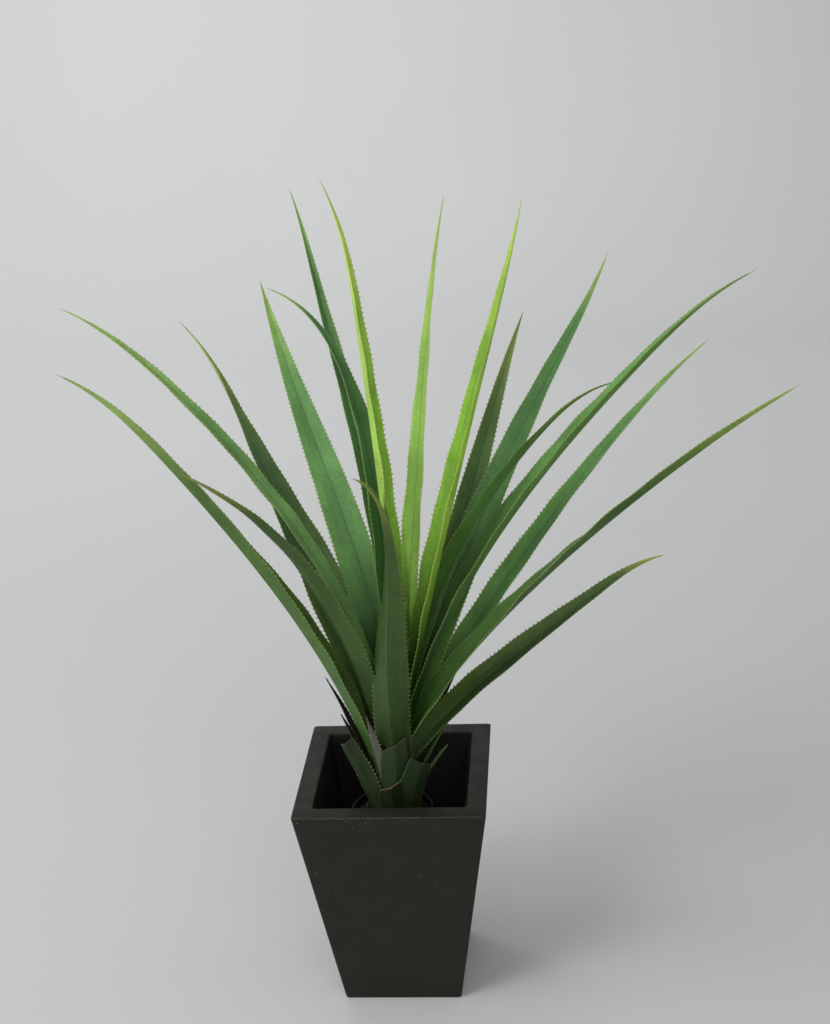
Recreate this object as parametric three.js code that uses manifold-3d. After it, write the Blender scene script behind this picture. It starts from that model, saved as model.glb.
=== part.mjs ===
// Potted agave: a tall square planter, a round grower's pot set down inside it, and a long-leaved agave.
// Millimetres, +Z up. The origin is the centre of the planter's underside and the viewer stands at -Y.
import * as THREE from 'three';
import { mergeVertices } from 'three/addons/utils/BufferGeometryUtils.js';
import Module from 'manifold-3d';

// Planter: a tapered square box with a broad flat rim.
const PLANTER_TOP = 240;
const PLANTER_FOOT = 151;
const PLANTER_HEIGHT = 297;
const RIM_WIDTH = 24.5;
const PLANTER_FLOOR = 20;
const PLANTER_FOOT_INSIDE = 112;
const PLANTER_CORNER_RADIUS = 4;
const PLANTER_EDGE = 2;

// Grower's pot: round, its rim 57 mm below the planter's, a little left of the middle.
const POT_X = -7;
const POT_RIM_RADIUS = 53.5;
const POT_RIM_HEIGHT = 240;
const POT_RIM_BAND = 10;
const POT_HEIGHT = 95;
const POT_FOOT_RADIUS = 37;
const POT_WALL = 2;
const POT_LIP = 1.5;
const SOIL_BELOW_RIM = 7;
const RISER_WIDTH = 84;

const RISER_TOP = POT_RIM_HEIGHT - POT_HEIGHT - 0.3;
const RIM_INSIDE = PLANTER_TOP - 2 * RIM_WIDTH;

// Fit between pieces that rest in or on each other.
const GAP = 0.3;

// Stem: a thick stump in the soil that narrows through the crown and leans a little to the right.
const SOIL_LINE = 238;
const STEM_X = -5;
const STEM_LEAN = 0.115;
const STEM_PROFILE = [[22, 175], [24, 236], [20, 262], [15, 300], [10, 345], [7, 385], [4, 408]];

// Blades: thicker along the keel than at the edges, with small teeth that point to the tip.
const KEEL_THICKNESS = 2.2;
const EDGE_THICKNESS = 1.0;
const TIP_WIDTH = 1.8;
const TOOTH_HEIGHT = 2;
const TOOTH_LENGTH = 4;
const TOOTH_PITCH = 34;
const BELLY = 0.32;
const TAPER_POWER = 1.45;

const wasm = await Module();
wasm.setup();

const radians = THREE.MathUtils.degToRad;

// A square with rounded corners as a ring of points, counter-clockwise from above.
function squareRing(width, radius, height) {
  const half = width / 2;
  const steps = 4;
  const ring = [];
  for (const [sx, sy, start] of [[1, 1, 0], [-1, 1, 90], [-1, -1, 180], [1, -1, 270]]) {
    for (let i = 0; i <= steps; i++) {
      const angle = radians(start + 90 * i / steps);
      const x = sx * (half - radius) + radius * Math.cos(angle);
      const y = sy * (half - radius) + radius * Math.sin(angle);
      ring.push(new THREE.Vector3(x, y, height));
    }
  }
  return ring;
}

// A closed skin through rings of equal length, with a flat cap on the first and the last ring.
// The strips named in `mirrored` are split along their other diagonal.
function loft(rings, mirrored = []) {
  const count = rings[0].length;
  const positions = rings.flat().flatMap((point) => point.toArray());
  const triangles = [];
  for (let r = 0; r + 1 < rings.length; r++) {
    for (let i = 0; i < count; i++) {
      const a = r * count + i;
      const b = r * count + (i + 1) % count;
      if (mirrored.includes(i)) {
        triangles.push(a, b, a + count, b, b + count, a + count);
      } else {
        triangles.push(a, b, b + count, a, b + count, a + count);
      }
    }
  }
  const last = (rings.length - 1) * count;
  for (let i = 1; i + 1 < count; i++) {
    triangles.push(0, i + 1, i, last, last + i, last + i + 1);
  }
  const geometry = new THREE.BufferGeometry();
  geometry.setAttribute('position', new THREE.Float32BufferAttribute(positions, 3));
  geometry.setIndex(triangles);
  return geometry;
}

function turned(profile, segments = 32) {
  const points = profile.map(([radius, height]) => new THREE.Vector2(radius, height));
  const geometry = new THREE.LatheGeometry(points, segments);
  geometry.rotateX(Math.PI / 2);
  geometry.deleteAttribute('normal');
  geometry.deleteAttribute('uv');
  return mergeVertices(geometry);
}

function toSolid(geometry) {
  const merged = mergeVertices(geometry);
  const vertProperties = new Float32Array(merged.attributes.position.array);
  const triVerts = new Uint32Array(merged.index.array);
  return new wasm.Manifold(new wasm.Mesh({ numProp: 3, vertProperties, triVerts }));
}

function toGeometry(solid) {
  const mesh = solid.getMesh();
  const geometry = new THREE.BufferGeometry();
  geometry.setAttribute('position', new THREE.Float32BufferAttribute(mesh.vertProperties, 3));
  geometry.setIndex(Array.from(mesh.triVerts));
  return geometry;
}

// Half-width of a blade as a share of its widest: it swells to the belly, then runs out to the point.
function widthShare(s, base) {
  if (s < BELLY) {
    const below = (BELLY - s) / BELLY;
    return base + (1 - base) * (1 - below * below);
  }
  return 1 - ((s - BELLY) / (1 - BELLY)) ** TAPER_POWER;
}

const stemX = (height) => STEM_X + STEM_LEAN * (height - SOIL_LINE);

// Radius of the stem at a height, straight between the points of its profile.
function stemRadius(height) {
  const i = STEM_PROFILE.findIndex(([, z]) => z > height);
  const [r0, z0] = STEM_PROFILE[i - 1];
  const [r1, z1] = STEM_PROFILE[i];
  return r0 + (r1 - r0) * (height - z0) / (z1 - z0);
}

// The keel of a blade as points and frames. Its heading turns by `turn` and its rise runs smoothly
// through the three angles of `rise`, given at the foot, half way and at the tip; `hook` bends the tip.
function keelFrames(leaf, stations) {
  const [foot, middle, tip] = leaf.rise;
  const frames = [];
  const along = (s) => {
    const bend = Math.max(0, (s - 0.75) / 0.25) ** 2;
    const rise = foot * (1 - s) * (1 - 2 * s) + middle * 4 * s * (1 - s) + tip * s * (2 * s - 1);
    const e = radians(rise + leaf.hook * bend);
    const h = radians(leaf.azimuth + leaf.turn * s * s);
    const tangent = new THREE.Vector3(Math.cos(e) * Math.cos(h), Math.cos(e) * Math.sin(h), Math.sin(e));
    const side = new THREE.Vector3(-Math.sin(h), Math.cos(h), 0);
    return { tangent, side };
  };
  const h0 = radians(leaf.seat ?? leaf.azimuth);
  const seat = stemRadius(leaf.height) * (1 + Math.tan(radians(leaf.fold)) ** 2 / 2) + GAP;
  const point = new THREE.Vector3(stemX(leaf.height) + seat * Math.cos(h0), seat * Math.sin(h0), leaf.height);
  const fine = 240;
  let step = 0;
  for (const s of stations) {
    while (step < Math.round(s * fine)) {
      point.addScaledVector(along((step + 0.5) / fine).tangent, leaf.length / fine);
      step += 1;
    }
    const { tangent, side } = along(s);
    const normal = new THREE.Vector3().crossVectors(tangent, side);
    const roll = radians(leaf.roll[0] + (leaf.roll[1] - leaf.roll[0]) * s);
    const rolledSide = side.clone().multiplyScalar(Math.cos(roll)).addScaledVector(normal, Math.sin(roll));
    const rolledUp = normal.clone().multiplyScalar(Math.cos(roll)).addScaledVector(side, -Math.sin(roll));
    frames.push({ s, point: point.clone(), tangent, side: rolledSide, up: rolledUp });
  }
  return frames;
}

// Stations along a blade: the foot, each tooth's two roots and its point, and the tip.
function bladeStations(length) {
  const count = Math.max(2, Math.round(0.9 * length / TOOTH_PITCH));
  const stations = [{ s: 0, tooth: 0 }];
  const half = TOOTH_LENGTH / 2 / length;
  for (let i = 0; i < count; i++) {
    const middle = 0.07 + 0.88 * i / (count - 1);
    stations.push({ s: middle - half, tooth: 0 });
    stations.push({ s: middle + half / 2, tooth: 1 });
    stations.push({ s: middle + half, tooth: 0 });
  }
  stations.push({ s: 1, tooth: 0 });
  return stations;
}

// A blade folded along its keel, or the room that it takes with `spare` all round. A slant moves one margin
// forward and the other back, most at the end.
// Each ring runs crease, right edge, keel outside, left edge.
function bladeGeometry(leaf, spare = 0) {
  const stations = bladeStations(leaf.length);
  const frames = keelFrames(leaf, stations.map((station) => station.s));
  const fold = radians(leaf.fold);
  const share = leaf.share ?? widthShare;
  const slant = Math.tan(radians(leaf.slant ?? 0));
  const rings = frames.map(({ s, point, tangent, side, up }, i) => {
    const half = Math.max(leaf.width / 2 * share(s, leaf.base), TIP_WIDTH / 2);
    const reach = half + spare + stations[i].tooth * Math.min(TOOTH_HEIGHT, 0.5 * half);
    const keel = Math.min(KEEL_THICKNESS, EDGE_THICKNESS + 0.12 * half);
    const ahead = slant * s ** 3;
    const at = (across, above) => point.clone()
      .addScaledVector(side, across)
      .addScaledVector(tangent, across * ahead)
      .addScaledVector(up, above);
    const across = reach * Math.cos(fold);
    const above = reach * Math.sin(fold);
    const lift = spare / Math.cos(fold);
    return [
      at(0, lift),
      at(-across, above + lift),
      at(-across, above - EDGE_THICKNESS - lift),
      at(0, -keel - lift),
      at(across, above - EDGE_THICKNESS - lift),
      at(across, above + lift),
    ];
  });
  return loft(rings, [2, 3]);
}

// Width shares of the short stubs, narrow where they clasp the stem: one kind runs out to a point,
// the other is cut off.
const clasp = (s) => 0.65 + 0.35 * Math.min(1, s / 0.35);
const pointedShare = (s) => clasp(s) * (1 - s ** 1.8);
const cutShare = (s) => clasp(s) * (1 - 0.15 * s);

const GREEN = { fresh: 0x8fc943, mid: 0x5fa04c, blue: 0x5c9a63, olive: 0x4b6636, dark: 0x33471f };

// The long leaves, counted from the lowest on the left over the top to the lowest on the right.
// Heights, lengths and widths are millimetres, angles degrees: `azimuth` is the heading of the blade and
// `seat` where it leaves the stem, roll turns it about its keel, `base` is the foot's width as a share.
const LEAVES = [
  { name: 'leaf_01', azimuth: 181, seat: 160, height: 277, length: 675, width: 59, fold: 31,
    rise: [76, 58, 54], hook: -24, turn: 11, roll: [-6, 37], base: 1.25, colour: GREEN.mid },
  { name: 'leaf_02', azimuth: 174, seat: 214, height: 346, length: 695, width: 32, fold: 14,
    rise: [82, 56, 39], hook: -17, turn: -4, roll: [-1, -18], base: 0.6, colour: GREEN.mid },
  { name: 'leaf_03', azimuth: 196, seat: 201, height: 310, length: 490, width: 46, fold: 14,
    rise: [81, 65, 27], hook: 6, turn: -6, roll: [28, 41], base: 0.9, colour: GREEN.olive },
  { name: 'leaf_04', azimuth: 146, seat: 104, height: 335, length: 600, width: 62, fold: 14,
    rise: [63, 62, 75], hook: -31, turn: 25, roll: [-41, 29], base: 0.4, colour: GREEN.olive },
  { name: 'leaf_05', azimuth: 118, seat: 127, height: 368, length: 635, width: 51, fold: 15,
    rise: [79, 44, 64], hook: -5, turn: 3, roll: [-44, -14], base: 0.4, colour: GREEN.blue },
  { name: 'leaf_06', azimuth: 102, seat: 163, height: 392, length: 690, width: 36, fold: 39,
    rise: [84, 52, 96], hook: -30, turn: 37, roll: [36, -15], base: 0.4, colour: GREEN.mid },
  { name: 'leaf_07', azimuth: 103, seat: 261, height: 378, length: 620, width: 45, fold: 19,
    rise: [79, 67, 14], hook: -8, turn: 44, roll: [33, 29], base: 0.4, colour: GREEN.olive },
  { name: 'leaf_08', azimuth: 255, seat: 288, height: 300, length: 430, width: 54, fold: 27,
    rise: [62, 98, 62], hook: -34, turn: -45, roll: [18, -32], base: 0.7, colour: GREEN.olive },
  { name: 'leaf_09', azimuth: 173, seat: 266, height: 393, length: 665, width: 36, fold: 46,
    rise: [91, 86, 85], hook: -26, turn: -27, roll: [-11, 2], base: 0.4, colour: GREEN.fresh },
  { name: 'leaf_10', azimuth: 66, seat: 73, height: 384, length: 640, width: 32, fold: 14,
    rise: [76, 78, 78], hook: -4, turn: -27, roll: [-14, -16], base: 0.4, colour: GREEN.fresh },
  { name: 'leaf_11', azimuth: 4, seat: -26, height: 386, length: 655, width: 41, fold: 46,
    rise: [77, 75, 74], hook: 5, turn: 5, roll: [22, 28], base: 0.4, colour: GREEN.fresh },
  { name: 'leaf_12', azimuth: 55, seat: 36, height: 337, length: 575, width: 41, fold: 18,
    rise: [61, 61, 57], hook: -6, turn: 1, roll: [10, 50], base: 0.4, colour: GREEN.olive },
  { name: 'leaf_13', azimuth: 42, seat: 68, height: 351, length: 660, width: 47, fold: 14,
    rise: [61, 57, 48], hook: 17, turn: -10, roll: [30, 7], base: 0.75, colour: GREEN.blue },
  { name: 'leaf_14', azimuth: 29, seat: 51, height: 373, length: 525, width: 49, fold: 16,
    rise: [77, 54, 34], hook: -34, turn: -14, roll: [9, -25], base: 0.65, colour: GREEN.olive },
  { name: 'leaf_15', azimuth: 19, seat: -27, height: 350, length: 735, width: 55, fold: 28,
    rise: [74, 49, 44], hook: -21, turn: -12, roll: [-9, -12], base: 0.6, colour: GREEN.blue },
  { name: 'leaf_16', azimuth: 31, seat: 82, height: 325, length: 665, width: 35, fold: 23,
    rise: [51, 45, 34], hook: -4, turn: -2, roll: [25, 4], base: 0.45, colour: GREEN.blue },
  { name: 'leaf_17', azimuth: -16, seat: -13, height: 345, length: 690, width: 49, fold: 18,
    rise: [58, 45, 38], hook: -4, turn: -1, roll: [39, -45], base: 0.7, colour: GREEN.mid },
  { name: 'leaf_18', azimuth: 3, seat: 54, height: 300, length: 435, width: 41, fold: 29,
    rise: [52, 38, 37], hook: -32, turn: 12, roll: [29, 22], base: 1.25, colour: GREEN.olive },
];

// The short stubs of older leaves round the foot of the crown, some pointed and some cut off; `slant` is the
// angle of that cut off square and `roll` turns a stub about its keel.
const STUBS = [
  { name: 'stub_01', azimuth: 160, height: 266, length: 163, width: 18, fold: 24, rise: 66 },
  { name: 'stub_02', azimuth: 178, height: 250, length: 132, width: 26, fold: 24, rise: 74 },
  { name: 'stub_03', azimuth: 218, height: 244, length: 120, width: 36, fold: 20, rise: 70,
    roll: 22, slant: 30 },
  { name: 'stub_04', azimuth: 241, height: 264, length: 136, width: 24, fold: 24, rise: 78 },
  { name: 'stub_05', azimuth: 281, height: 257, length: 97, width: 38, fold: 14, rise: 79, slant: 34 },
  { name: 'stub_06', azimuth: 301, height: 286, length: 99, width: 14, fold: 20, rise: 81 },
  { name: 'stub_07', azimuth: 320, height: 240, length: 90, width: 42, fold: 16, rise: 70,
    roll: -22, slant: -29 },
  { name: 'stub_08', azimuth: 273, height: 242, length: 62, width: 36, fold: 14, rise: 66, slant: 40 },
  { name: 'stub_09', azimuth: 352, height: 250, length: 102, width: 30, fold: 20, rise: 60 },
  { name: 'stub_10', azimuth: 2, height: 262, length: 122, width: 26, fold: 22, rise: 63 },
  { name: 'stub_11', azimuth: 31, height: 275, length: 158, width: 24, fold: 24, rise: 61 },
  { name: 'stub_12', azimuth: 60, height: 246, length: 84, width: 30, fold: 18, rise: 64, slant: 20 },
  { name: 'stub_13', azimuth: 104, height: 262, length: 110, width: 26, fold: 20, rise: 68 },
  { name: 'stub_14', azimuth: 140, height: 243, length: 76, width: 30, fold: 18, rise: 62, slant: -25 },
];

const stubBlade = (stub) => ({
  ...stub,
  rise: [stub.rise + 4, stub.rise, stub.rise - 6],
  hook: 0,
  turn: 0,
  roll: [stub.roll ?? 0, stub.roll ?? 0],
  share: stub.slant === undefined ? pointedShare : cutShare,
  colour: GREEN.dark,
});

function planterGeometry() {
  const footInner = (PLANTER_FOOT_INSIDE - RIM_INSIDE) / (PLANTER_HEIGHT - PLANTER_FLOOR);
  const outside = (z) => PLANTER_FOOT + (PLANTER_TOP - PLANTER_FOOT) * z / PLANTER_HEIGHT;
  const inside = (z) => RIM_INSIDE + footInner * (PLANTER_HEIGHT - z);
  const radius = PLANTER_CORNER_RADIUS;
  const edge = PLANTER_EDGE;
  return loft([
    squareRing(outside(0) - 2 * edge, radius, 0),
    squareRing(outside(edge), radius, edge),
    squareRing(outside(PLANTER_HEIGHT - edge), radius, PLANTER_HEIGHT - edge),
    squareRing(PLANTER_TOP - edge, radius, PLANTER_HEIGHT),
    squareRing(RIM_INSIDE + edge, radius, PLANTER_HEIGHT),
    squareRing(inside(PLANTER_HEIGHT - edge), radius, PLANTER_HEIGHT - edge),
    squareRing(PLANTER_FOOT_INSIDE, radius, PLANTER_FLOOR),
  ]);
}

function riserGeometry() {
  const geometry = new THREE.BoxGeometry(RISER_WIDTH, RISER_WIDTH, RISER_TOP - PLANTER_FLOOR - GAP);
  geometry.translate(POT_X, 0, (RISER_TOP + PLANTER_FLOOR + GAP) / 2);
  return geometry;
}

function potGeometry() {
  const foot = POT_RIM_HEIGHT - POT_HEIGHT;
  const band = POT_RIM_HEIGHT - POT_RIM_BAND;
  const wallTop = POT_RIM_RADIUS - POT_LIP;
  const geometry = turned([
    [0, foot],
    [POT_FOOT_RADIUS, foot],
    [wallTop, band],
    [POT_RIM_RADIUS, band],
    [POT_RIM_RADIUS, POT_RIM_HEIGHT],
    [wallTop - POT_WALL, POT_RIM_HEIGHT],
    [wallTop - POT_WALL, band],
    [POT_FOOT_RADIUS - POT_WALL, foot + POT_WALL],
    [0, foot + POT_WALL],
  ], 48);
  geometry.translate(POT_X, 0, 0);
  return geometry;
}

// The stem, or the room that it takes with `spare` all round.
function stemGeometry(spare = 0) {
  const profile = STEM_PROFILE.map(([radius, height]) => [radius + spare, height]);
  profile[0][1] -= spare;
  profile.at(-1)[1] += spare;
  const geometry = turned([[0, profile[0][1]], ...profile, [0, profile.at(-1)[1]]], 24);
  const lean = new THREE.Matrix4().makeShear(0, 0, 0, 0, STEM_LEAN, 0);
  geometry.applyMatrix4(lean);
  geometry.translate(STEM_X - STEM_LEAN * SOIL_LINE, 0, 0);
  return geometry;
}

function soilGeometry() {
  const foot = POT_RIM_HEIGHT - POT_HEIGHT + POT_WALL + GAP;
  const band = POT_RIM_HEIGHT - POT_RIM_BAND;
  const radius = POT_RIM_RADIUS - POT_LIP - POT_WALL - GAP;
  const top = POT_RIM_HEIGHT - SOIL_BELOW_RIM;
  const mound = turned([
    [0, foot],
    [POT_FOOT_RADIUS - POT_WALL - GAP, foot],
    [radius, band],
    [radius, top - 2],
    [radius - 20, top],
    [0, top + 1],
  ], 48);
  mound.translate(POT_X, 0, 0);
  return toGeometry(toSolid(mound).subtract(toSolid(stemGeometry(GAP))));
}

function plastic(colour, roughness) {
  return new THREE.MeshStandardMaterial({ color: colour, roughness, metalness: 0 });
}

function addPiece(group, name, geometry, material) {
  const mesh = new THREE.Mesh(geometry, material);
  mesh.name = name;
  group.add(mesh);
}

const agave = new THREE.Group();
addPiece(agave, 'planter', planterGeometry(), plastic(0x2c2c2a, 0.75));
addPiece(agave, 'riser_block', riserGeometry(), plastic(0xb9b6ae, 0.95));
addPiece(agave, 'grower_pot', potGeometry(), plastic(0x2a282b, 0.5));
addPiece(agave, 'soil', soilGeometry(), plastic(0x1d1813, 1));
addPiece(agave, 'stem', stemGeometry(), plastic(0x4c5a2e, 0.7));

// Blades crowd at the crown: from the lowest up, each is trimmed where it meets the stem or a blade
// fitted before it.
const fitted = [{ room: toSolid(stemGeometry(GAP)) }];
const blades = [...LEAVES, ...STUBS.map(stubBlade)].sort((a, b) => a.height - b.height);
for (const leaf of blades) {
  let blade = toSolid(bladeGeometry(leaf));
  for (const { room } of fitted) {
    blade = blade.subtract(room);
  }
  const whole = blade.decompose().sort((a, b) => b.volume() - a.volume())[0];
  fitted.push({ room: toSolid(bladeGeometry(leaf, GAP)) });
  addPiece(agave, leaf.name, toGeometry(whole), plastic(leaf.colour, 0.5));
}

export default agave;
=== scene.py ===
import math

import bpy
import numpy as np
from mathutils import Matrix, Vector


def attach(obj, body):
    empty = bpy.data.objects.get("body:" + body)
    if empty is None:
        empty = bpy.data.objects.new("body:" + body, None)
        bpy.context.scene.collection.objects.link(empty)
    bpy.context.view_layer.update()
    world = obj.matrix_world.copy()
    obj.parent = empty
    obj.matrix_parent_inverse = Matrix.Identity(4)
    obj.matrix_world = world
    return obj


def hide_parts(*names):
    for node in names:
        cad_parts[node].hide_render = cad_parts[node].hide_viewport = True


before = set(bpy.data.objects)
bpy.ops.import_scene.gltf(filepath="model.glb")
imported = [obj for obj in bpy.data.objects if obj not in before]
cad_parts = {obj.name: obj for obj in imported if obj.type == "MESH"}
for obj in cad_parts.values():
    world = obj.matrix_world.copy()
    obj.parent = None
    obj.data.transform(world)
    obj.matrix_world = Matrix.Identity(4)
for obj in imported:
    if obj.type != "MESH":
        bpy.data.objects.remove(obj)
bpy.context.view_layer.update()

# Planter
# A tall tapered square planter, cast in one piece from a nearly black mix of resin and stone powder.
# The rim is broad and flat, its outer edge is softly rounded and rubbed pale, and the hole is painted darker
# as shade.
PLANTER_TOP = 0.240
PLANTER_FOOT = 0.151
PLANTER_HEIGHT = 0.297
PLANTER_HOLE = 0.191
PLANTER_FOOT_INSIDE = 0.112
PLANTER_FLOOR = 0.020
PLANTER_CORNER = 0.004
PLANTER_EDGE = 0.0024
PLANTER_CELL = 0.005
PLANTER_CAP = 0.012
SIDE_CELLS = 36
CORNER_CELLS = 5
BEND_CELLS = 5
WORN_WIDTH = 0.0022
CHIPS = [
    (-0.060, -0.120, 0.296), (-0.051, -0.119, 0.293), (-0.047, -0.119, 0.290), (-0.043, -0.118, 0.282),
    (-0.034, -0.119, 0.288), (-0.027, -0.119, 0.290), (-0.096, -0.107, 0.210), (-0.092, -0.104, 0.192),
    (-0.087, -0.104, 0.187), (-0.083, -0.103, 0.182), (0.033, -0.106, 0.204), (0.053, -0.105, 0.194),
    (0.116, -0.120, 0.294), (-0.112, -0.119, 0.290),
]
CHIP_SIZE = 0.0016
RESIN_DARK = (0.0095, 0.0100, 0.0060, 1)
RESIN_LIGHT = (0.0150, 0.0154, 0.0096, 1)
# Painted shade for the inside of the hole.
RESIN_SHADED_HOLE = (0.003, 0.003, 0.0025, 1)
RESIN_WORN = (0.13, 0.13, 0.12, 1)
RESIN_CHIPPED = (0.20, 0.19, 0.17, 1)
HOLE_SHADE_SHARE = 0.75
WORN_SHARE = 0.55
CHIPPED_SHARE = 0.6
RESIN_RELIEF = 0.0004
NOISE_RANGE = (0.3, 0.7)
SINK_DEPTH = 0.004
SINK_BY_COLOUR = (1.0, 1.0, 0.5)


def piece(name, points, faces, material, node, marks=None):
    """A finished piece at the origin, smooth all over, shown in place of a CAD node.
    marks are values or vectors per point that its material reads by name."""
    mesh = bpy.data.meshes.new(name)
    mesh.from_pydata(points.reshape(-1, 3), [], faces)
    for key, values in (marks or {}).items():
        kind, field = ("FLOAT", "value") if values.ndim == 1 else ("FLOAT_VECTOR", "vector")
        mesh.attributes.new(key, kind, "POINT").data.foreach_set(field, values.ravel())
    mesh.shade_smooth()
    mesh.materials.append(material)
    made = bpy.data.objects.new(name, mesh)
    bpy.context.scene.collection.objects.link(made)
    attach(made, "root")
    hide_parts(node)
    return made


def ringed(rows, count):
    """Quads between neighbouring rings of `count` points, with one flat cap on the first and last ring."""
    row, column = np.meshgrid(np.arange(rows - 1), np.arange(count), indexing="ij")
    a = row * count + column
    b = row * count + (column + 1) % count
    quads = np.stack([a, b, b + count, a + count], axis=-1).reshape(-1, 4)
    first = np.arange(count)[::-1]
    last = (rows - 1) * count + np.arange(count)
    return quads.tolist() + [first.tolist(), last.tolist()]


def soft_path(corners, bend, cell):
    """A path through corners: each corner (1-t)^2 a + 2t(1-t) corner + t^2 b, where a and b lie `bend` before
    and after it, and each straight cut to steps of about `cell`."""
    corners = np.array(corners, float)
    parts = [corners[:1]]
    start = corners[0]
    t = np.linspace(0, 1, BEND_CELLS + 1)[:, None]
    for before, corner, after in zip(corners[:-2], corners[1:-1], corners[2:]):
        into = corner - before
        away = after - corner
        a = corner - into / np.linalg.norm(into) * bend
        b = corner + away / np.linalg.norm(away) * bend
        steps = max(1, round(np.linalg.norm(a - start) / cell))
        parts.append(start + (a - start) * np.linspace(0, 1, steps + 1)[1:-1, None])
        parts.append((1 - t) ** 2 * a + 2 * t * (1 - t) * corner + t ** 2 * b)
        start = b
    steps = max(1, round(np.linalg.norm(corners[-1] - start) / cell))
    parts.append(start + (corners[-1] - start) * np.linspace(0, 1, steps + 1)[1:, None])
    return np.concatenate(parts)


def rounded_square(sides, turns):
    """A square's outline as two parts: where the middle of each corner's arc or side point lies, in units of
    the half-width less the corner radius, and the unit direction in which the radius is laid off."""
    angle = np.linspace(0, math.pi / 2, turns + 1)
    arc = np.stack([np.cos(angle), np.sin(angle)], axis=-1)
    run = np.linspace(0, 1, sides + 1)[1:-1, None]
    cores, ways = [], []
    for quarter in range(4):
        c, s = round(math.cos(quarter * math.pi / 2)), round(math.sin(quarter * math.pi / 2))
        turn = np.array([[c, s], [-s, c]])
        corner = np.array([1, 1]) @ turn
        following = np.array([-1, 1]) @ turn
        cores += [np.repeat(corner[None], turns + 1, axis=0), corner + (following - corner) * run]
        ways += [arc @ turn, np.repeat((np.array([0, 1]) @ turn)[None], sides - 1, axis=0)]
    return np.concatenate(cores), np.concatenate(ways)


def planter_surface():
    """A rounded square carried up the outside, over the rim and down the inside, one ring per path point.
    `worn` runs from 1 at the rim's outer edge to 0 a little way off, `inside` is 1 down the hole."""
    corners = [
        (PLANTER_CAP, 0),
        (PLANTER_FOOT / 2, 0),
        (PLANTER_TOP / 2, PLANTER_HEIGHT),
        (PLANTER_HOLE / 2, PLANTER_HEIGHT),
        (PLANTER_FOOT_INSIDE / 2, PLANTER_FLOOR),
        (PLANTER_CAP, PLANTER_FLOOR),
    ]
    path = soft_path(corners, PLANTER_EDGE, PLANTER_CELL)
    core, way = rounded_square(SIDE_CELLS, CORNER_CELLS)
    half = path[:, 0, None, None]
    flat = core * (half - PLANTER_CORNER) + way * PLANTER_CORNER
    height = np.broadcast_to(path[:, 1, None, None], flat.shape[:2] + (1,))
    from_edge = np.linalg.norm(path - corners[2], axis=-1)
    past_edge = np.arange(len(path)) > np.argmax(path[:, 0])
    inside = past_edge & (path[:, 1] < PLANTER_HEIGHT - PLANTER_EDGE / 2)
    marks = {
        "worn": np.clip(1 - from_edge / WORN_WIDTH, 0, 1).repeat(len(core)),
        "inside": inside.astype(float).repeat(len(core)),
    }
    return np.concatenate([flat, height], axis=-1), marks


def add(tree, kind, inputs=None, **settings):
    """One shader node: inputs are socket values or other nodes' outputs, settings its own choices."""
    made = tree.nodes.new(kind)
    for key, value in settings.items():
        setattr(made, key, value)
    for key, value in (inputs or {}).items():
        if isinstance(value, bpy.types.NodeSocket):
            tree.links.new(value, made.inputs[key])
        else:
            made.inputs[key].default_value = value
    return made


def calc(tree, operation, *values):
    """A sum on numbers or outputs, such as MULTIPLY or ADD."""
    return add(tree, "ShaderNodeMath", dict(enumerate(values)), operation=operation).outputs[0]


def spread(tree, value, low, high, to_low=0.0, to_high=1.0):
    """value eased from the range low to high into the range to_low to to_high."""
    inputs = {"Value": value, "From Min": low, "From Max": high, "To Min": to_low, "To Max": to_high}
    return add(tree, "ShaderNodeMapRange", inputs, interpolation_type="SMOOTHSTEP").outputs[0]


def blend(tree, share, under, over, way="MIX"):
    """Colour `over` laid on `under` by a share from 0 to 1."""
    return add(
        tree, "ShaderNodeMix", {0: share, 6: under, 7: over}, data_type="RGBA", blend_type=way
    ).outputs[2]


def noise(tree, vector, scale, detail=3.0, rough=0.5):
    """Cloudy noise from 0 to 1 at so many clouds a metre."""
    inputs = {"Vector": vector, "Scale": scale, "Detail": detail, "Roughness": rough}
    return add(tree, "ShaderNodeTexNoise", inputs).outputs[0]


def shades(tree, value, low, high):
    """Noise, which mostly lies within NOISE_RANGE, eased into the range low to high."""
    return spread(tree, value, *NOISE_RANGE, low, high)


def place_of(tree):
    """The point on the object, in metres."""
    return add(tree, "ShaderNodeTexCoord").outputs["Object"]


def mark(tree, name, field="Fac"):
    """What the mesh says about a point under that name."""
    return add(tree, "ShaderNodeAttribute", attribute_name=name).outputs[field]


def group(name, inputs, outputs):
    """An empty shader node group, with its entry and its exit."""
    tree = bpy.data.node_groups.new(name, "ShaderNodeTree")
    for label, kind, value in inputs:
        socket = tree.interface.new_socket(label, in_out="INPUT", socket_type=kind)
        socket.default_value = value
    for label, kind in outputs:
        tree.interface.new_socket(label, in_out="OUTPUT", socket_type=kind)
    return tree, tree.nodes.new("NodeGroupInput").outputs, tree.nodes.new("NodeGroupOutput").inputs


def use(tree, name, inputs):
    """A group placed in a material with its own values; gives its outputs."""
    return add(tree, "ShaderNodeGroup", inputs, node_tree=bpy.data.node_groups[name]).outputs


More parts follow.
